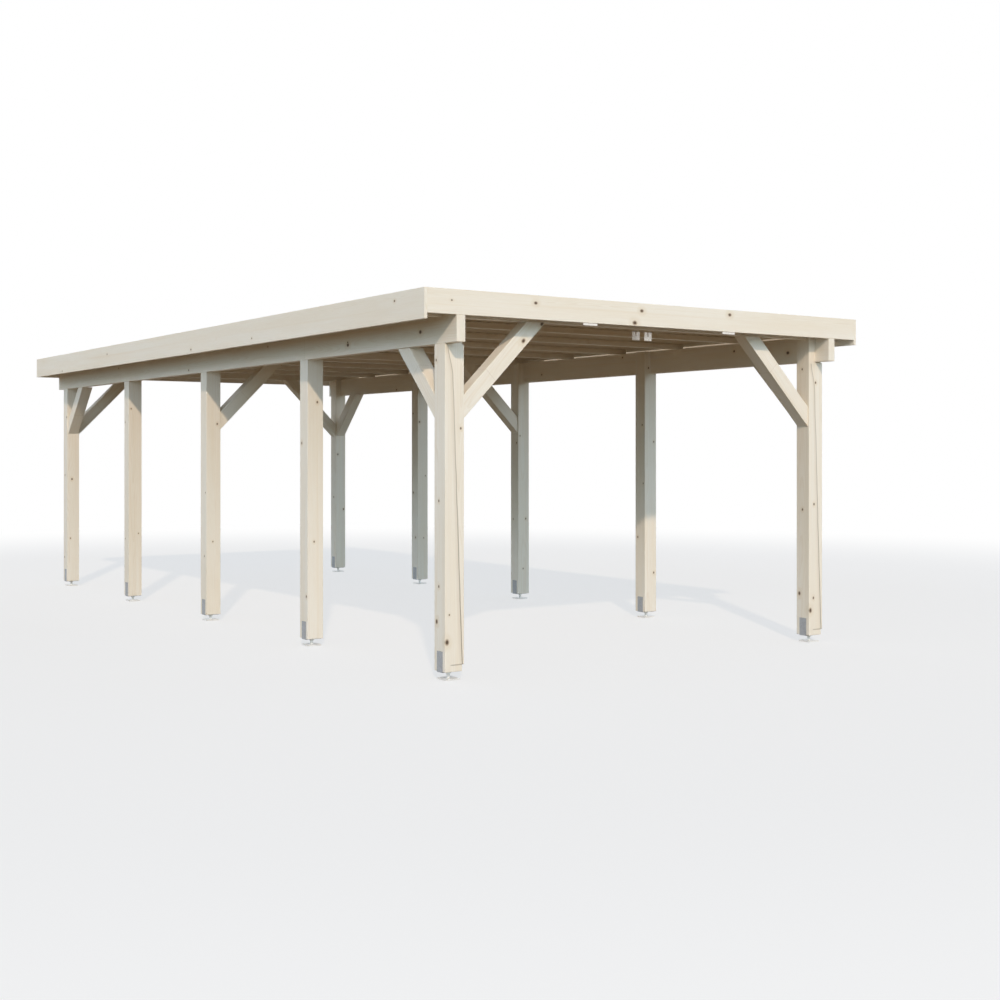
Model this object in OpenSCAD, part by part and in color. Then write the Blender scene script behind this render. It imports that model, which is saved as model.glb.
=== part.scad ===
// Open timber carport with a flat roof: two rows of posts on adjustable feet, a beam let into
// the top of each row, rafters across the beams, knee braces, a roof of profiled sheets and a
// board round the roof's edge.
// The origin is at ground level under the middle of the roof. The front faces -Y.

/* [Plan] */
// Width over the outer faces of the two rows of posts
frame_w = 3160; // [2400:10:5000]
// Distance from one post to the next in a row
bay = 1805; // [1200:5:2600]
// How far the roof's edge stands out past the posts at each side
side_overhang = 220; // [120:5:500]
// How far the roof's edge stands out past the posts at the front
front_overhang = 130; // [80:5:500]
// How far the roof's edge stands out past the posts at the rear
rear_overhang = 180; // [100:5:500]

/* [Heights] */
// Height of the underside of the side beams above the ground
beam_bottom = 1995; // [1700:5:2800]
// Height of a post's lower end above the ground
post_clear = 50; // [30:1:100]
// How far the roof's edge stands above the rafters
rim_rise = 87; // [22:1:120]

/* [Posts and beams] */
// Side of the square posts
post_w = 120; // [90:1:160]
// How far the sliver split off the right edge of the two front posts stands out
split_out = 13; // [4:1:20]
// Height of the sliver's lower end above the ground
split_bottom = 90; // [60:1:400]
// Height of its upper end
split_top = 1990; // [800:5:1990]
// Thickness of the side beams, which sit in the outer part of each post's top
beam_t = 60; // [40:1:80]
// Depth of the side beams
beam_h = 180; // [120:1:240]

/* [Rafters] */
// Thickness of the rafters
rafter_t = 60; // [40:1:80]
// Depth of the rafters
rafter_h = 60; // [50:1:200]
// Depth of the notch where a rafter sits over a beam
rafter_notch = 22; // [5:1:25]

/* [Knee braces] */
// Side of the square braces
brace_w = 100; // [60:1:110]
// How far a brace under a rafter reaches from its post
cross_reach = 620; // [400:5:700]
// How far a brace under a side beam reaches from its post
side_reach = 455; // [350:5:600]

/* [Edge boards] */
// Thickness of the boards round the roof's edge
board_t = 20; // [15:1:30]
// Depth of the boards along the sides and across the rear
board_h = 182; // [150:1:240]

/* [Roof sheets] */
// Number of sheets side by side
sheets = 3; // [2:1:5]
// Thickness of a sheet
sheet_t = 1.2; // [0.8:0.1:2]
// Height of the sheets' ribs
rib_h = 18; // [12:1:20]
// Distance from one rib to the next
rib_pitch = 76; // [60:1:100]
// Gap between the sheets and each side board
side_gap = 11; // [5:1:40]
// Gap between the sheets and the front and rear boards, where the water runs off
end_gap = 30; // [15:1:60]

/* [Post feet] */
// Side of the square base plate
plate_w = 100; // [80:1:140]
// Thickness of the base plate
plate_t = 8; // [5:1:10]
// Diameter of the threaded rod
rod_d = 20; // [16:1:24]
// Thickness of the bracket that holds the post
bracket_t = 5; // [4:1:6]
// Width of the bracket
bracket_w = 64; // [50:1:80]
// Height of the bracket's two flanges
flange_h = 120; // [90:1:160]
// Distance between the base plate's holes, each way
hole_spacing = 74; // [60:1:90]
// Diameter of the base plate's holes
hole_d = 11; // [9:1:13]

/* [Joint plates] */
// Width of the two plates on the second rafter's front face
joint_plate_w = 66; // [40:1:90]
// Height of these plates
joint_plate_h = 60; // [45:1:90]
// Thickness of all the plates
joint_plate_t = 3; // [2:1:4]
// Gap between the two plates
joint_plate_gap = 46; // [30:1:80]
// How far the middle of the pair stands to the right of the roof's middle
joint_pair_x = 549; // [300:1:800]
// Width of the slot that runs down from the top of these plates
joint_slot_w = 9; // [6:1:14]
// How far the slot runs down
joint_slot_h = 32; // [20:1:40]
// Width of the two plates behind the front board
front_plate_w = 110; // [80:1:160]
// How far these plates stand from the roof's middle
front_plate_x = 583; // [300:1:900]
// How far they reach below the front board
front_plate_drop = 13; // [5:1:25]
// How far they reach up behind the front board
front_plate_lap = 60; // [40:1:90]

/* [Hidden] */
eps = 1;
posts_in_row = 5;
// Rafters are evenly spaced from the first post to the last, with one over the middle post.
rafter_spaces = 10;
middle_rafter = rafter_spaces / 2;
// The corners of one rib of a roof sheet: how far along the pitch, and whether low or high.
rib_shape = [[0.15, 0], [0.27, 1], [0.73, 1], [0.85, 0]];
// The nut on a foot's threaded rod, as multiples of the rod's diameter.
nut_width_ratio = 1.7;
nut_height_ratio = 0.5;

roof_w = frame_w + 2 * side_overhang;
row_l = bay * (posts_in_row - 1) + post_w;
roof_l = row_l + front_overhang + rear_overhang;

front_y = -roof_l / 2;
rear_y = roof_l / 2;
first_post_y = front_y + front_overhang;
post_x = -frame_w / 2;

beam_top = beam_bottom + beam_h;
rafter_bottom = beam_top - rafter_notch;
rafter_top = rafter_bottom + rafter_h;
roof_top = rafter_top + rim_rise;
rafter_pitch = bay * (posts_in_row - 1) / rafter_spaces;
// Rafters over posts and the front and rear boards run between the inner faces of the side boards.
inner_half_w = roof_w / 2 - board_t;

brace_inset = (post_w - brace_w) / 2;
// A brace cut at 45 degrees is this much wider along its cuts.
brace_cut = brace_w * sqrt(2);

rows = ["left", "right"];
braced_frames = [1, 3, 5];
end_frames = [1, 5];

pale_spruce = [0.90, 0.86, 0.78];
zinc = [0.74, 0.76, 0.77];
sand_sheet = [0.80, 0.74, 0.62];

// Y of the front face of post i, counted from 1 at the front.
function post_y(i) = first_post_y + (i - 1) * bay;
// Y of the middle of rafter k, counted from 0 at the front.
function rafter_y(k) = first_post_y + post_w / 2 + k * rafter_pitch;

// Places a left-hand piece on the row named, as its mirror image on the right.
module in_row(row) {
    if (row == "left") children();
    else mirror([1, 0, 0]) children();
}

// A post: its outer part is cut away at the top for the beam, and the foot's flanges are let in.
// The two front posts have a crack, and the sliver beyond it stands out at their right edge.
module post(row, i) {
    split_x = row == "left" ? post_w : -split_out;
    color(pale_spruce) in_row(row) translate([post_x, post_y(i), 0]) {
        difference() {
            translate([0, 0, post_clear]) cube([post_w, post_w, beam_top - post_clear]);
            translate([-eps, -eps, beam_bottom])
                cube([beam_t + eps, post_w + 2 * eps, beam_h + eps]);
            for (x = [-eps, post_w - bracket_t])
                translate([x, (post_w - bracket_w) / 2, post_clear - eps])
                    cube([bracket_t + eps, bracket_w, flange_h + eps]);
        }
        if (i == 1)
            translate([split_x, 0, split_bottom])
                cube([split_out, brace_inset, split_top - split_bottom]);
    }
}

// An adjustable foot: a drilled base plate, a threaded rod with its nut, and a bracket whose
// seat and two flanges hold the post.
module post_foot(row, i) {
    nut_d = rod_d * nut_width_ratio;
    nut_h = rod_d * nut_height_ratio;
    seat_z = post_clear - bracket_t;
    color(zinc) in_row(row) translate([post_x + post_w / 2, post_y(i) + post_w / 2, 0]) {
        difference() {
            translate([-plate_w / 2, -plate_w / 2, 0]) cube([plate_w, plate_w, plate_t]);
            for (x = [-1, 1], y = [-1, 1])
                translate([x * hole_spacing / 2, y * hole_spacing / 2, -eps])
                    cylinder(d = hole_d, h = plate_t + 2 * eps, $fn = 48);
        }
        cylinder(d = rod_d, h = seat_z + bracket_t / 2, $fn = 48);
        translate([0, 0, seat_z - nut_h]) cylinder(d = nut_d, h = nut_h, $fn = 6);
        translate([-post_w / 2, -bracket_w / 2, seat_z]) cube([post_w, bracket_w, bracket_t]);
        for (x = [-post_w / 2, post_w / 2 - bracket_t])
            translate([x, -bracket_w / 2, seat_z]) cube([bracket_t, bracket_w, flange_h + bracket_t]);
    }
}

// A side beam: from the roof's front edge to the rear board, with a step in its front end
// where the front board is let in.
module beam(row) {
    color(pale_spruce) in_row(row) difference() {
        translate([post_x, front_y, beam_bottom]) cube([beam_t, roof_l - board_t, beam_h]);
        translate([post_x - eps, front_y - eps, rafter_bottom])
            cube([beam_t + 2 * eps, board_t + eps, rafter_notch + eps]);
    }
}

// The outline of a 45-degree brace that rises to the right from a post's face at x = 0, with
// its top cut level at y = 0.
module brace_outline(reach) {
    polygon([[0, -reach], [reach, 0], [reach - brace_cut, 0], [0, brace_cut - reach]]);
}

// A brace across the carport, from a post up to the rafter over it.
module brace_cross(row, i) {
    color(pale_spruce) in_row(row)
        translate([post_x + post_w, post_y(i) + brace_inset + brace_w, rafter_bottom])
            rotate([90, 0, 0]) linear_extrude(brace_w) brace_outline(cross_reach);
}

// A brace along the side, from an end post up to the beam, towards the middle of the row.
module brace_side(row, i) {
    towards_rear = i == 1;
    color(pale_spruce) in_row(row)
        translate([post_x + brace_inset, post_y(i) + (towards_rear ? post_w : 0), beam_bottom])
            mirror([0, towards_rear ? 0 : 1, 0])
                rotate([90, 0, 90]) linear_extrude(brace_w) brace_outline(side_reach);
}

// Rafter k. A rafter over a pair of posts is notched over the post tops and runs out to the side
// boards. The others are shallow, lie on the beams and end at the beams' outer faces.
module rafter(k) {
    over_posts = k % middle_rafter == 0;
    color(pale_spruce) translate([0, rafter_y(k) - rafter_t / 2, 0])
        if (over_posts) difference() {
            translate([-inner_half_w, 0, rafter_bottom]) cube([2 * inner_half_w, rafter_t, rafter_h]);
            for (row = rows) in_row(row)
                translate([post_x, -eps, rafter_bottom - eps])
                    cube([post_w, rafter_t + 2 * eps, rafter_notch + eps]);
        } else translate([-frame_w / 2, 0, beam_top])
            cube([frame_w, rafter_t, rafter_top - beam_top]);
}

module edge_board_side(row) {
    color(pale_spruce) in_row(row)
        translate([-roof_w / 2, front_y, roof_top - board_h]) cube([board_t, roof_l, board_h]);
}

// The front board: it reaches down only to the underside of the rafters.
module edge_board_front() {
    color(pale_spruce) translate([-inner_half_w, front_y, rafter_bottom])
        cube([2 * inner_half_w, board_t, roof_top - rafter_bottom]);
}

module edge_board_rear() {
    color(pale_spruce) translate([-inner_half_w, rear_y - board_t, roof_top - board_h])
        cube([2 * inner_half_w, board_t, board_h]);
}

// The lower line of the sheet's profile over a number of whole ribs, as points from left to right.
function profile(ribs) = concat(
    [[0, 0]],
    [for (n = [0:ribs - 1], p = rib_shape) [(n + p[0]) * rib_pitch, p[1] * (rib_h - sheet_t)]],
    [[ribs * rib_pitch, 0]]
);

// Roof sheet i of the row across the roof, with its ribs along the carport.
module roof_sheet(i) {
    cover_w = 2 * (inner_half_w - side_gap) / sheets;
    ribs = floor(cover_w / rib_pitch);
    stretch = cover_w / (ribs * rib_pitch);
    lower = [for (p = profile(ribs)) [p[0] * stretch, p[1]]];
    upper = [for (n = [len(lower) - 1:-1:0]) lower[n] + [0, sheet_t]];
    color(sand_sheet)
        translate([-inner_half_w + side_gap + (i - 1) * cover_w, rear_y - board_t - end_gap, rafter_top])
            rotate([90, 0, 0]) linear_extrude(roof_l - 2 * board_t - 2 * end_gap)
                polygon(concat(lower, upper));
}

// Four steel plates: two slotted ones side by side on the front face of the second rafter, which
// reach below it, and two plain ones on the inner face of the front board, which show below it.
module joint_plates() {
    face_y = rafter_y(1) - rafter_t / 2 - joint_plate_t;
    step = joint_plate_w + joint_plate_gap;
    color(zinc) {
        for (s = [-0.5, 0.5]) translate([joint_pair_x + s * step, face_y, rafter_bottom]) difference() {
            translate([-joint_plate_w / 2, 0, 0]) cube([joint_plate_w, joint_plate_t, joint_plate_h]);
            translate([-joint_slot_w / 2, -eps, joint_plate_h - joint_slot_h])
                cube([joint_slot_w, joint_plate_t + 2 * eps, joint_slot_h + eps]);
        }
        for (s = [-1, 1]) translate([s * front_plate_x, front_y + board_t, rafter_bottom])
            translate([-front_plate_w / 2, 0, -front_plate_drop])
                cube([front_plate_w, joint_plate_t, front_plate_drop + front_plate_lap]);
    }
}

for (row = rows) {
    for (i = [1:posts_in_row]) {
        post(row, i);
        post_foot(row, i);
    }
    beam(row);
    for (i = braced_frames)
        brace_cross(row, i);
    for (i = end_frames)
        brace_side(row, i);
    edge_board_side(row);
}
rafter(0);  // rafter_front
rafter(middle_rafter);  // rafter_middle
rafter(rafter_spaces);  // rafter_rear
for (k = [1:middle_rafter - 1]) rafter(k);  // rafters_front_half
for (k = [middle_rafter + 1:rafter_spaces - 1]) rafter(k);  // rafters_rear_half
edge_board_front();
edge_board_rear();
for (i = [1:sheets]) roof_sheet(i);
joint_plates();
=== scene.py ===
"""The looks of an open timber carport, built round its CAD model.

Whitewashed spruce on every timber, galvanised steel for the feet and fixings, and sand-coloured
profiled sheets on the roof. All sizes are metres in the row's frame.
"""

import math
import random

import bmesh
import bpy
from mathutils import Matrix, Vector


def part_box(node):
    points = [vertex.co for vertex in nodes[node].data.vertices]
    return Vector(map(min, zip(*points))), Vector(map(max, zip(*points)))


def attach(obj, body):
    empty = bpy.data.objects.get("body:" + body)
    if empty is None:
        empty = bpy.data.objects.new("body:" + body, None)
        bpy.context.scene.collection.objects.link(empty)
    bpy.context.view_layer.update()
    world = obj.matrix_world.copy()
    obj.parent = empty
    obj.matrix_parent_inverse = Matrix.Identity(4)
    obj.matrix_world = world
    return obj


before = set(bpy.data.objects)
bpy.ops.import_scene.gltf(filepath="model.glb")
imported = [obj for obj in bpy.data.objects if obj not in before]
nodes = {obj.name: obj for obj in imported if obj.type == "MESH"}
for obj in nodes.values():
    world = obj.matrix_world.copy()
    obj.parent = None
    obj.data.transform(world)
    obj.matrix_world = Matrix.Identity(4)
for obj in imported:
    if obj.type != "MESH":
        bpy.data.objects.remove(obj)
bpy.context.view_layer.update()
scene = bpy.context.scene


# ---------------------------------------------------------------- camera

def make_camera():
    data = bpy.data.cameras.new("camera")
    data.sensor_width = 36.0
    data.lens = 51.08
    data.shift_y = -0.047
    data.clip_end = 200.0
    camera = bpy.data.objects.new("camera", data)
    camera.location = (-6.002, -10.802, 1.346)
    camera.rotation_euler = (math.radians(90), 0, math.radians(-34.11))
    scene.collection.objects.link(camera)
    scene.camera = camera


make_camera()


# ---------------------------------------------------------------- node helpers

class Tree:
    """Short ways to add and join the nodes of one node tree."""

    def __init__(self, tree):
        self.tree = tree

    def add(self, kind, **settings):
        made = self.tree.nodes.new(kind)
        for key, value in settings.items():
            setattr(made, key, value)
        return made

    def put(self, socket, value):
        if isinstance(value, bpy.types.NodeSocket):
            self.tree.links.new(value, socket)
        else:
            socket.default_value = value

    def math(self, operation, *values):
        made = self.add("ShaderNodeMath", operation=operation)
        for socket, value in zip(made.inputs, values):
            self.put(socket, value)
        return made.outputs[0]

    def vector(self, operation, *values):
        made = self.add("ShaderNodeVectorMath", operation=operation)
        for socket, value in zip(made.inputs, values):
            self.put(socket, value)
        return made.outputs["Value" if operation in ("LENGTH", "DOT_PRODUCT") else "Vector"]

    def combine(self, x, y, z):
        made = self.add("ShaderNodeCombineXYZ")
        for socket, value in zip(made.inputs, (x, y, z)):
            self.put(socket, value)
        return made.outputs[0]

    def noise(self, vector, scale, detail=2.0, roughness=0.5):
        made = self.add("ShaderNodeTexNoise")
        self.put(made.inputs["Vector"], vector)
        made.inputs["Scale"].default_value = scale
        made.inputs["Detail"].default_value = detail
        made.inputs["Roughness"].default_value = roughness
        return made.outputs["Fac"]

    def smooth(self, value, low, high, out_low=0.0, out_high=1.0):
        """A smooth step of value from low to high."""
        made = self.add("ShaderNodeMapRange", interpolation_type="SMOOTHSTEP")
        for key, number in (("Value", value), ("From Min", low), ("From Max", high),
                            ("To Min", out_low), ("To Max", out_high)):
            self.put(made.inputs[key], number)
        return made.outputs["Result"]

    def mix(self, factor, a, b):
        """Mixes two colours."""
        made = self.add("ShaderNodeMix", data_type="RGBA")
        made.clamp_factor = True
        self.put(made.inputs["Factor"], factor)
        self.put(made.inputs["A"], (*a, 1.0) if isinstance(a, tuple) else a)
        self.put(made.inputs["B"], (*b, 1.0) if isinstance(b, tuple) else b)
        return made.outputs["Result"]

    def blend(self, factor, a, b):
        """Mixes two shaders."""
        made = self.add("ShaderNodeMixShader")
        for socket, value in zip(made.inputs, (factor, a, b)):
            self.put(socket, value)
        return made.outputs[0]

    def seen_directly(self):
        """1 for rays from the camera and through or off metal and glass, 0 for light on things."""
        rays = self.add("ShaderNodeLightPath")
        seen = self.math("MAXIMUM", rays.outputs["Is Camera Ray"], rays.outputs["Is Glossy Ray"])
        return self.math("MAXIMUM", seen, rays.outputs["Is Transmission Ray"])


def new_material(name):
    material = bpy.data.materials.new(name)
    material.use_nodes = True
    material.node_tree.nodes.clear()
    t = Tree(material.node_tree)
    out = t.add("ShaderNodeOutputMaterial")
    shader = t.add("ShaderNodeBsdfPrincipled")
    t.put(out.inputs["Surface"], shader.outputs[0])
    return material, t, shader


# ---------------------------------------------------------------- timber

# Each part of a unit vector at 45 degrees.
DIAGONAL = 0.7071

GRAIN_FRAMES = {
    # The row frame's directions that become (along the grain, across, across) for each kind of timber.
    "x": ((1, 0, 0), (0, 1, 0), (0, 0, 1)),
    "y": ((0, 1, 0), (1, 0, 0), (0, 0, 1)),
    "z": ((0, 0, 1), (1, 0, 0), (0, 1, 0)),
    "x_up": ((DIAGONAL, 0, DIAGONAL), (0, 1, 0), (-DIAGONAL, 0, DIAGONAL)),
    "x_down": ((DIAGONAL, 0, -DIAGONAL), (0, 1, 0), (DIAGONAL, 0, DIAGONAL)),
    "y_up": ((0, DIAGONAL, DIAGONAL), (1, 0, 0), (0, -DIAGONAL, DIAGONAL)),
    "y_down": ((0, DIAGONAL, -DIAGONAL), (1, 0, 0), (0, DIAGONAL, DIAGONAL)),
}

LIGHT_WOOD = (0.880, 0.800, 0.680)
PALE_BAND = (0.905, 0.850, 0.760)
DARK_BAND = (0.760, 0.645, 0.500)
WARM_STREAK = (0.830, 0.715, 0.560)
KNOT_HALO = (0.800, 0.700, 0.560)
KNOT_RING = (0.420, 0.300, 0.200)
KNOT_HEART = (0.130, 0.090, 0.062)
# Painted shade inside the crack and the saw cut on the front posts.
CRACK_SHADE = (0.200, 0.145, 0.105)
# Painted shade on the hollow beside the crack.
HOLLOW_SHADE = (0.480, 0.370, 0.260)

# The crack on the front posts runs up and to the left from the front face's lower right corner.
CRACK_FOOT = 0.1235
CRACK_SLOPE = -0.0375
CRACK_TOP = 1.99
# A saw cut runs across the front face at the crack's lower end.
KERF_HEIGHT = 0.090

RINGS_PER_METRE = 210.0
# Below 1, so that a knot is longer along the grain than across it.
KNOT_STRETCH = 0.75


def beyond(t, place, origin, direction):
    """How far place lies past origin along direction."""
    return t.vector("DOT_PRODUCT", t.vector("SUBTRACT", place, tuple(origin)), tuple(direction))


def knot_distance(t, place, knots, grain):
    """Distance to the nearest knot, counted in that knot's radius. Knots are longer along the
    grain."""
    along, across, depth = (Vector(v) for v in GRAIN_FRAMES[grain])
    nearest = None
    for point, size in knots:
        ks = t.math("MULTIPLY", beyond(t, place, point, along), KNOT_STRETCH)
        ka = beyond(t, place, point, across)
        kb = beyond(t, place, point, depth)
        distance = t.math("DIVIDE", t.vector("LENGTH", t.combine(ks, ka, kb)), size)
        nearest = distance if nearest is None else t.math("MINIMUM", nearest, distance)
    return nearest


def draw_knots(t, nearest, colour, height):
    """Halo, ring and heart of each knot, which lies a little below the surface."""
    colour = t.mix(t.smooth(nearest, 4.5, 1.8, 0.0, 0.6), colour, KNOT_HALO)
    colour = t.mix(t.smooth(nearest, 1.7, 1.0, 0.0, 0.75), colour, KNOT_RING)
    colour = t.mix(t.smooth(nearest, 1.0, 0.7), colour, KNOT_HEART)
    return colour, t.math("ADD", height, t.smooth(nearest, 1.3, 0.8, 0.0, -1.2))


def draw_crack(t, place, corner, shift, colour, height):
    """The drying crack up a front post's face and the saw cut at its lower end, drawn as bumps with
    painted shade: dark inside the crack and the cut, and softer on the hollow to the left of the crack.
    corner is the post's front left corner at ground level."""
    on_front = t.smooth(beyond(t, place, corner, (0, 1, 0)), 0.012, 0.004)
    across = beyond(t, place, corner, (1, 0, 0))
    rise = beyond(t, place, corner, (0, 0, 1))
    line = t.math("MULTIPLY_ADD", rise, CRACK_SLOPE, CRACK_FOOT)
    waver = t.noise(t.combine(shift, 0.0, rise), 5.0, detail=3.0)
    line = t.math("ADD", line, t.math("MULTIPLY_ADD", waver, 0.010, -0.005))
    line = t.math("ADD", line, t.smooth(rise, 1.80, CRACK_TOP, 0.0, -0.028))
    past = t.math("SUBTRACT", across, line)
    inside = t.math("MULTIPLY", on_front, t.smooth(rise, CRACK_TOP, CRACK_TOP - 0.02))
    inside = t.math("MULTIPLY", inside, t.smooth(rise, KERF_HEIGHT - 0.003, KERF_HEIGHT + 0.003))
    # Painted shade on the hollow to the left of the crack, darkest next to it.
    hollow = t.math("MULTIPLY", t.smooth(past, -0.030, -0.002), t.smooth(past, 0.003, 0.0))
    colour = t.mix(t.math("MULTIPLY", inside, t.math("MULTIPLY", hollow, 0.26)), colour, HOLLOW_SHADE)
    # Painted shade inside the crack, stronger lower down the post.
    split = t.math("MULTIPLY", inside, t.smooth(t.math("ABSOLUTE", past), 0.0045, 0.0010))
    split_shade_strength = t.smooth(rise, 1.7, 0.2, 0.40, 0.80)
    colour = t.mix(t.math("MULTIPLY", split, split_shade_strength), colour, CRACK_SHADE)
    # Painted shade inside the saw cut.
    kerf = t.smooth(t.math("ABSOLUTE", t.math("SUBTRACT", rise, KERF_HEIGHT)), 0.0050, 0.0020)
    kerf = t.math("MULTIPLY", t.math("MULTIPLY", kerf, on_front), t.smooth(across, 0.030, 0.050))
    colour = t.mix(t.math("MULTIPLY", kerf, 0.50), colour, CRACK_SHADE)
    return colour, t.math("ADD", height, t.math("MULTIPLY", t.math("MAXIMUM", split, kerf), -3.0))


def spruce(name, grain, centre, seed, knots=(), joints=(), crack=None):
    """Whitewashed spruce for one timber. centre is a point on the timber's axis; the pith is
    set off from it by the seed. Each knot is (point, radius), a point on the timber's surface.
    joints are the places of glued finger joints along the grain, measured from the centre.
    crack is the front left lower corner of a post whose front face is cracked."""
    rng = random.Random(seed)
    material, t, shader = new_material(name)
    along, across, depth = (Vector(v) for v in GRAIN_FRAMES[grain])
    place = t.add("ShaderNodeTexCoord").outputs["Object"]
    s = beyond(t, place, centre, along)
    a = beyond(t, place, centre, across)
    b = beyond(t, place, centre, depth)
    shift = rng.uniform(0, 50)

    def drawn_out(lengthwise, crosswise, scale=1.0, **settings):
        """Noise that is drawn out along the grain."""
        spot = t.combine(t.math("MULTIPLY_ADD", s, lengthwise, shift), t.math("MULTIPLY", a, crosswise),
                         t.math("MULTIPLY", b, crosswise))
        return t.noise(spot, scale, **settings)

    # Growth rings about a pith that wanders slowly along the timber. They bend round the knots.
    wander = drawn_out(0.55, 3.0, scale=1.6, detail=2.0)
    angle = rng.uniform(0, math.tau)
    offset = rng.uniform(0.035, 0.075)
    ra = t.math("ADD", a, t.math("MULTIPLY_ADD", wander, 0.060, offset * math.cos(angle) - 0.030))
    rb = t.math("ADD", b, t.math("MULTIPLY_ADD", wander, -0.050, offset * math.sin(angle) + 0.025))
    radius = t.math("SQRT", t.math("ADD", t.math("MULTIPLY", ra, ra), t.math("MULTIPLY", rb, rb)))
    radius = t.math("ADD", radius, t.math("MULTIPLY", drawn_out(2.0, 40.0, detail=3.0), 0.0035))
    nearest = knot_distance(t, place, knots, grain)
    if nearest is not None:
        radius = t.math("ADD", radius, t.smooth(nearest, 0.6, 5.0, 0.006, 0.0))
    ring = t.math("FRACT", t.math("MULTIPLY", radius, RINGS_PER_METRE))
    late = t.math("MULTIPLY", t.smooth(ring, 0.35, 0.95), t.smooth(ring, 1.0, 0.96))

    # Tone varies from place to place, and fine fibres run along the grain.
    broad = drawn_out(0.8, 9.0, detail=3.0)
    streak = drawn_out(0.35, 34.0, detail=3.0)
    fibre = drawn_out(14.0, 420.0, detail=2.0)
    wash = drawn_out(3.0, 60.0, detail=4.0, roughness=0.6)
    colour = t.mix(t.smooth(broad, 0.30, 0.70), LIGHT_WOOD, PALE_BAND)
    colour = t.mix(t.smooth(streak, 0.52, 0.78, 0.0, 0.45), colour, WARM_STREAK)
    strength = t.math("MULTIPLY", late, t.smooth(wash, 0.25, 0.75, 0.06, 0.42))
    colour = t.mix(strength, colour, DARK_BAND)
    colour = t.mix(t.smooth(fibre, 0.35, 0.75, 0.0, 0.14), colour, DARK_BAND)
    height = t.math("MULTIPLY_ADD", fibre, 0.35, t.math("MULTIPLY", late, 0.4))
    if nearest is not None:
        colour, height = draw_knots(t, nearest, colour, height)
    for joint in joints:
        # A finger joint shows as a fine zigzag line across the timber.
        zigzag = t.math("PINGPONG", t.math("ADD", a, b), 0.004)
        gap = t.math("ABSOLUTE", t.math("SUBTRACT", s, t.math("ADD", zigzag, joint)))
        colour = t.mix(t.smooth(gap, 0.0022, 0.0006, 0.0, 0.30), colour, KNOT_RING)
    if crack is not None:
        colour, height = draw_crack(t, place, crack, shift, colour, height)

    t.put(shader.inputs["Base Color"], colour)
    shader.inputs["Specular IOR Level"].default_value = 0.3
    t.put(shader.inputs["Roughness"], t.smooth(late, 0.0, 1.0, 0.78, 0.66))
    bump = t.add("ShaderNodeBump")
    bump.inputs["Strength"].default_value = 0.35
    bump.inputs["Distance"].default_value = 0.0006
    t.put(bump.inputs["Height"], height)
    t.put(shader.inputs["Normal"], bump.outputs[0])
    return material


def middle(name):
    low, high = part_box(name)
    return (low + high) / 2


def random_knots(name, along_axis, spacing, seed, faces):
    """Knots at random places on a timber's long faces. faces lists (axis, side) of each face that
    gets knots; side is 0 for the low face and 1 for the high one."""
    rng = random.Random(seed)
    low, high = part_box(name)
    found = []
    for axis, side in faces:
        place = low[along_axis] + rng.uniform(0.2, 1.0) * spacing
        while place < high[along_axis] - 0.1:
            point = Vector(low)
            point[along_axis] = place
            point[axis] = (low, high)[side][axis]
            other = 3 - axis - along_axis
            point[other] = rng.uniform(low[other] + 0.02, high[other] - 0.02)
            found.append((point, rng.uniform(0.0035, 0.0068)))
            place += rng.uniform(0.55, 1.45) * spacing
    return found


def set_material(name, material):
    mesh = nodes[name].data
    mesh.materials.clear()
    mesh.materials.append(material)


def ease(name, width=0.003, segments=2):
    """Takes the sharp edges off a CAD piece."""
    item = nodes[name]
    weld = item.modifiers.new("weld", "WELD")
    weld.merge_threshold = 0.00002
    flat = item.modifiers.new("flat", "DECIMATE")
    flat.decimate_type = "DISSOLVE"
    flat.angle_limit = math.radians(0.5)
    bevel = item.modifiers.new("ease", "BEVEL")
    bevel.width = width
    bevel.segments = segments
    bevel.limit_method = "ANGLE"
    bevel.angle_limit = math.radians(30)
    bevel.harden_normals = False


# Knots on single timbers, as (point, radius).
PLACED_KNOTS = {
    "edge_board_front": [((-0.243, -3.825, 2.172), 0.011), ((-0.185, -3.825, 2.251), 0.009),
                         ((0.575, -3.825, 2.267), 0.009), ((-1.015, -3.825, 2.252), 0.008),
                         ((-1.614, -3.825, 2.234), 0.004)],
    "brace_cross_left_1": [((-1.008, -3.685, 2.033), 0.010), ((-0.869, -3.685, 2.143), 0.009),
                           ((-0.885, -3.635, 1.914), 0.009)],
    "beam_left": [((-1.580, -3.412, 2.079), 0.010), ((-1.580, -2.482, 2.059), 0.010)],
    "beam_right": [((1.520, -3.430, 2.074), 0.010)],
    "post_left_1": [((-1.580, -3.602, 0.343), 0.009), ((-1.566, -3.695, 0.228), 0.011)],
    "post_right_1": [((1.460, -3.602, 0.343), 0.009), ((1.474, -3.695, 0.228), 0.011)],
}


def dress(name, grain, knots, width=0.003, joints=(), crack=None):
    """Gives one timber its own spruce and eases its edges."""
    knots = PLACED_KNOTS.get(name, []) + knots
    set_material(name, spruce(name, grain, middle(name), name, knots, joints, crack))
    ease(name, width)


ALL_SIDES = [(0, 0), (0, 1), (1, 0), (1, 1)]
# A brace's middle line is its box's diagonal, moved by this much away from the post and down.
BRACE_AXIS_SHIFT = 0.035


def brace_knots(name, slant):
    """Three knots on the front face of a brace that leans along x. slant is 1 where it rises to
    the right and -1 where it rises to the left."""
    rng = random.Random(name)
    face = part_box(name)[0][1]
    centre = middle(name)
    found = []
    for _ in range(3):
        along = rng.uniform(-0.22, 0.24)
        across = rng.uniform(-0.035, 0.035)
        point = (centre[0] + slant * (along + BRACE_AXIS_SHIFT) - across, face,
                 centre[2] + along + slant * across - BRACE_AXIS_SHIFT)
        found.append((point, rng.uniform(0.0035, 0.006)))
    return found


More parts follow.
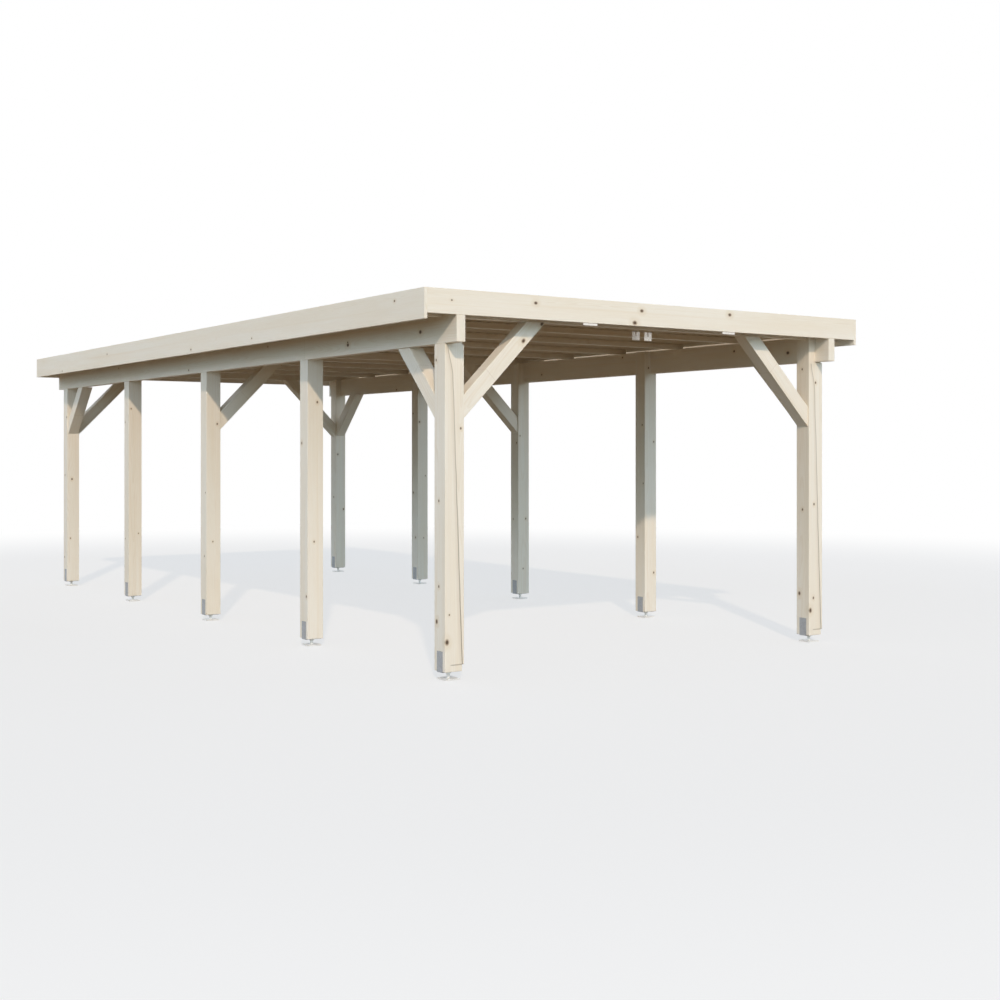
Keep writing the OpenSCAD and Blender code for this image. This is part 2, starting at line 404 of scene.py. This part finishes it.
for row in ("left", "right"):
    for n in range(1, 6):
        post = f"post_{row}_{n}"
        low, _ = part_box(post)
        if n == 1:
            knots = random_knots(post, 2, 0.9, post, ALL_SIDES)
            dress(post, "z", knots, 0.004, crack=(low[0], low[1], 0.0))
        else:
            dress(post, "z", random_knots(post, 2, 0.8, post, ALL_SIDES), 0.004)
    beam = f"beam_{row}"
    dress(beam, "y", random_knots(beam, 1, 1.5, beam, [(0, 0), (0, 1), (2, 0)]), joints=(-1.83, 1.95))
    for n in (1, 3, 5):
        brace = f"brace_cross_{row}_{n}"
        if row == "left":
            dress(brace, "x_up", brace_knots(brace, 1), joints=(-0.09,))
        else:
            dress(brace, "x_down", brace_knots(brace, -1), joints=(-0.09,))
    for n, grain in ((1, "y_up"), (5, "y_down")):
        dress(f"brace_side_{row}_{n}", grain, [], joints=(0.06,))
    board = f"edge_board_{row}"
    dress(board, "y", random_knots(board, 1, 1.6, board, [(0, 0), (0, 1)]), 0.002)
dress("edge_board_front", "x", random_knots("edge_board_front", 0, 1.3, "front", [(1, 1)]), 0.002)
dress("edge_board_rear", "x", random_knots("edge_board_rear", 0, 1.2, "rear", [(1, 0), (1, 1)]), 0.002)
for rafter in ("rafter_front", "rafter_middle", "rafter_rear", "rafters_front_half", "rafters_rear_half"):
    dress(rafter, "x", [], 0.001, joints=(0.62,))


# ---------------------------------------------------------------- steel

def make_zinc(name, dull, bright, rough, metal=0.25, lean=0.0):
    """Galvanised steel, from a dull tone to a bright one in soft spangles. lean turns the surface
    a little downward, as on a thin plate that does not lie quite flat."""
    material, t, shader = new_material(name)
    place = t.add("ShaderNodeTexCoord").outputs["Object"]
    cells = t.add("ShaderNodeTexVoronoi", feature="F1")
    t.put(cells.inputs["Vector"], place)
    cells.inputs["Scale"].default_value = 90.0
    cloud = t.noise(place, 14.0, detail=3.0)
    spangle = t.math("MULTIPLY_ADD", cells.outputs["Color"], 0.5, t.math("MULTIPLY", cloud, 0.5))
    t.put(shader.inputs["Base Color"], t.mix(t.smooth(spangle, 0.15, 0.85), dull, bright))
    shader.inputs["Metallic"].default_value = metal
    t.put(shader.inputs["Roughness"], t.math("MULTIPLY_ADD", cloud, 0.20, rough))
    bump = t.add("ShaderNodeBump")
    bump.inputs["Strength"].default_value = 0.2
    bump.inputs["Distance"].default_value = 0.0003
    t.put(bump.inputs["Height"], t.noise(place, 160.0, detail=2.0))
    leaning = t.vector("ADD", bump.outputs[0], (0.0, 0.0, -lean))
    t.put(shader.inputs["Normal"], t.vector("NORMALIZE", leaning))
    return material


# The feet's flanges and seats start at this height. Below it are the rod, the nut and the plate.
SEAT_HEIGHT = 0.0449

dull_zinc = make_zinc("dull_zinc", (0.36, 0.37, 0.39), (0.44, 0.45, 0.475), 0.42)
bright_zinc = make_zinc("bright_zinc", (0.80, 0.79, 0.76), (0.90, 0.89, 0.86), 0.30)


def link(name, bm, materials):
    """Makes a piece of looks from a mesh and lets it ride on the carport."""
    mesh = bpy.data.meshes.new(name)
    bm.to_mesh(mesh)
    bm.free()
    for material in materials:
        mesh.materials.append(material)
    piece = bpy.data.objects.new(name, mesh)
    scene.collection.objects.link(piece)
    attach(piece, "root")


def turned(bm, outline, place, axis, segments=24):
    """Adds a turned body: outline lists (distance along the axis, radius), place is its start."""
    axis = Vector(axis).normalized()
    side = axis.orthogonal().normalized()
    other = axis.cross(side)
    rings = []
    for along, radius in outline:
        middle_point = Vector(place) + axis * along
        rings.append([bm.verts.new(middle_point + radius * (math.cos(math.tau * k / segments) * side
                                                            + math.sin(math.tau * k / segments) * other))
                      for k in range(segments)])
    for lower, upper in zip(rings, rings[1:]):
        for k in range(segments):
            bm.faces.new((lower[k], lower[(k + 1) % segments], upper[(k + 1) % segments], upper[k]))
    bm.faces.new(list(reversed(rings[0])))
    bm.faces.new(rings[-1])


THREAD_PITCH = 0.0025
THREAD_ROOT = 0.0095
THREAD_FLANK = 0.0101
THREAD_CREST = 0.0108
# The threaded part of a foot's rod, from the plate's top to the nut.
THREAD_LOW = 0.0082
THREAD_HIGH = 0.0345


def make_thread(name, x, y):
    """The thread on a foot's rod, as close ridges round it."""
    bm = bmesh.new()
    outline = [(0.0, THREAD_ROOT)]
    turns = int((THREAD_HIGH - THREAD_LOW) / THREAD_PITCH)
    for k in range(turns):
        outline += [((k + 0.25) * THREAD_PITCH, THREAD_FLANK), ((k + 0.5) * THREAD_PITCH, THREAD_CREST),
                    ((k + 0.75) * THREAD_PITCH, THREAD_FLANK)]
    outline.append((turns * THREAD_PITCH, THREAD_ROOT))
    turned(bm, outline, (x, y, THREAD_LOW), (0, 0, 1))
    link(name, bm, [bright_zinc])


# The screws start this far from the foot's middle, just inside a flange's outer face.
SCREW_START = 0.0598
# Where the screws sit on a flange: beside its middle, and height above the ground.
FLANGE_SCREWS = ((-0.018, 0.082), (0.018, 0.108), (-0.018, 0.140))
# A washer-head screw, as (distance from the face, radius). The last point is the drive's floor.
FLANGE_SCREW_OUTLINE = [(0.0, 0.0052), (0.0009, 0.0052), (0.0012, 0.0040), (0.0024, 0.0036),
                        (0.0027, 0.0026), (0.0018, 0.0020)]


def make_flange_screws(name, x, y):
    """Three washer-head screws on each of a foot's two flanges."""
    bm = bmesh.new()
    for side in (-1, 1):
        for dy, z in FLANGE_SCREWS:
            start = (x + side * SCREW_START, y + dy, z)
            turned(bm, FLANGE_SCREW_OUTLINE, start, (side, 0, 0), 16)
    link(name, bm, [dull_zinc])


for row in ("left", "right"):
    for n in range(1, 6):
        foot = f"post_foot_{row}_{n}"
        mesh = nodes[foot].data
        mesh.materials.clear()
        mesh.materials.append(dull_zinc)
        mesh.materials.append(bright_zinc)
        for polygon in mesh.polygons:
            polygon.material_index = 1 if polygon.center.z < SEAT_HEIGHT else 0
        ease(foot, 0.0008, 1)
        x, y, _ = middle(foot)
        make_thread(f"thread_{row}_{n}", x, y)
        make_flange_screws(f"flange_screws_{row}_{n}", x, y)

plate_zinc = make_zinc("plate_zinc", (0.82, 0.78, 0.72), (0.92, 0.90, 0.85), 0.12, metal=1.0, lean=0.10)
set_material("joint_plates", plate_zinc)


# ---------------------------------------------------------------- roof sheets

def make_sheet():
    material, t, shader = new_material("sand_sheet")
    place = t.add("ShaderNodeTexCoord").outputs["Object"]
    cloud = t.noise(t.vector("MULTIPLY", place, (1.5, 0.4, 1.5)), 2.0, detail=4.0)
    speck = t.noise(place, 220.0, detail=2.0)
    colour = t.mix(t.smooth(cloud, 0.3, 0.7), (0.660, 0.570, 0.430), (0.720, 0.630, 0.490))
    colour = t.mix(t.smooth(speck, 0.62, 0.80, 0.0, 0.25), colour, (0.66, 0.60, 0.50))
    t.put(shader.inputs["Base Color"], colour)
    t.put(shader.inputs["Roughness"], t.smooth(cloud, 0.3, 0.7, 0.62, 0.74))
    shader.inputs["Specular IOR Level"].default_value = 0.10
    return material


sheet_material = make_sheet()
for n in (1, 2, 3):
    set_material(f"roof_sheet_{n}", sheet_material)


# A roof screw's washer and six-sided head, as (height above the rib, radius).
WASHER_OUTLINE = [(0.0, 0.0085), (0.0012, 0.0085), (0.0018, 0.0062), (0.0030, 0.0056)]
HEAD_OUTLINE = [(0.0030, 0.0042), (0.0078, 0.0042), (0.0084, 0.0036)]


def make_sheet_screws(name, y, crests, top):
    """Screws with washers through the sheets' ribs, along one rafter."""
    bm = bmesh.new()
    for x in crests:
        turned(bm, WASHER_OUTLINE, (x, y, top), (0, 0, 1), 20)
        turned(bm, HEAD_OUTLINE, (x, y, top), (0, 0, 1), 6)
    link(name, bm, [bright_zinc])


RIBS_PER_SHEET = 15
RIBS_PER_SCREW = 3
RAFTERS = 11
# The washers sink into the ribs by this much.
WASHER_SINK = 0.0002


def sheet_crests():
    """The middles of the ribs that are screwed down, across the roof."""
    found = []
    for n in (1, 2, 3):
        low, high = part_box(f"roof_sheet_{n}")
        pitch = (high[0] - low[0]) / RIBS_PER_SHEET
        found += [low[0] + (k + 0.5) * pitch for k in range(1, RIBS_PER_SHEET, RIBS_PER_SCREW)]
    return found


first = middle("rafter_front")[1]
last = middle("rafter_rear")[1]
crest_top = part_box("roof_sheet_1")[1][2] - WASHER_SINK
for k in range(RAFTERS):
    y = first + (last - first) * k / (RAFTERS - 1)
    make_sheet_screws(f"sheet_screws_{k + 1}", y, sheet_crests(), crest_top)


# ---------------------------------------------------------------- floor, world and light

def make_floor():
    """A pale floor that keeps the carport's shadow and fades to white far off. The light that it
    throws back on the carport is warm and dim, as over brown paving."""
    mesh = bpy.data.meshes.new("floor")
    bm = bmesh.new()
    bmesh.ops.create_grid(bm, x_segments=4, y_segments=4, size=60.0)
    bm.to_mesh(mesh)
    bm.free()
    floor = bpy.data.objects.new("floor", mesh)
    floor.location = (0, 0, -0.001)
    scene.collection.objects.link(floor)
    material = bpy.data.materials.new("floor")
    material.use_nodes = True
    material.node_tree.nodes.clear()
    t = Tree(material.node_tree)
    out = t.add("ShaderNodeOutputMaterial")
    pale = t.add("ShaderNodeBsdfDiffuse")
    pale.inputs["Color"].default_value = (0.80, 0.80, 0.79, 1.0)
    bounce = t.add("ShaderNodeBsdfDiffuse")
    bounce.inputs["Color"].default_value = (0.21, 0.148, 0.085, 1.0)
    white = t.add("ShaderNodeEmission")
    white.inputs["Strength"].default_value = 1.0
    place = t.add("ShaderNodeTexCoord").outputs["Object"]
    far = t.smooth(t.vector("LENGTH", place), 7.0, 14.0)
    lit = t.blend(0.62, pale.outputs[0], white.outputs[0])
    shown = t.blend(far, lit, white.outputs[0])
    t.put(out.inputs["Surface"], t.blend(t.seen_directly(), bounce.outputs[0], shown))
    mesh.materials.append(material)


def make_world():
    """A soft sky: brightest a little above the horizon, dim overhead, lighter low down in front.
    It shows as plain white."""
    world = bpy.data.worlds.new("world")
    scene.world = world
    world.use_nodes = True
    world.node_tree.nodes.clear()
    t = Tree(world.node_tree)
    out = t.add("ShaderNodeOutputWorld")
    up = t.add("ShaderNodeSeparateXYZ")
    t.put(up.inputs[0], t.add("ShaderNodeTexCoord").outputs["Generated"])
    height = up.outputs["Z"]
    near_horizon = t.smooth(up.outputs["Y"], 0.1, -0.7, 0.85, 1.6)
    rise = t.smooth(height, 0.16, 0.34, near_horizon, 2.65)
    overhead = t.smooth(height, 0.42, 0.60, 1.0, 0.04)
    tint = t.mix(t.smooth(height, 0.16, 0.34), (0.60, 0.83, 0.89), (0.74, 0.84, 1.0))
    sky = t.add("ShaderNodeBackground")
    t.put(sky.inputs["Color"], tint)
    t.put(sky.inputs["Strength"], t.math("MULTIPLY", rise, overhead))
    white = t.add("ShaderNodeBackground")
    white.inputs["Color"].default_value = (1, 1, 1, 1)
    white.inputs["Strength"].default_value = 1.0
    t.put(out.inputs["Surface"], t.blend(t.seen_directly(), sky.outputs[0], white.outputs[0]))


def make_sun():
    data = bpy.data.lights.new("sun", "SUN")
    data.energy = 1.6
    data.angle = math.radians(1.5)
    data.color = (1.0, 0.80, 0.60)
    sun = bpy.data.objects.new("sun", data)
    toward = Vector((0.55, 1.0, -0.69))
    sun.rotation_euler = toward.to_track_quat("-Z", "Y").to_euler()
    scene.collection.objects.link(sun)


make_floor()
make_world()
make_sun()
scene.view_settings.view_transform = "Standard"
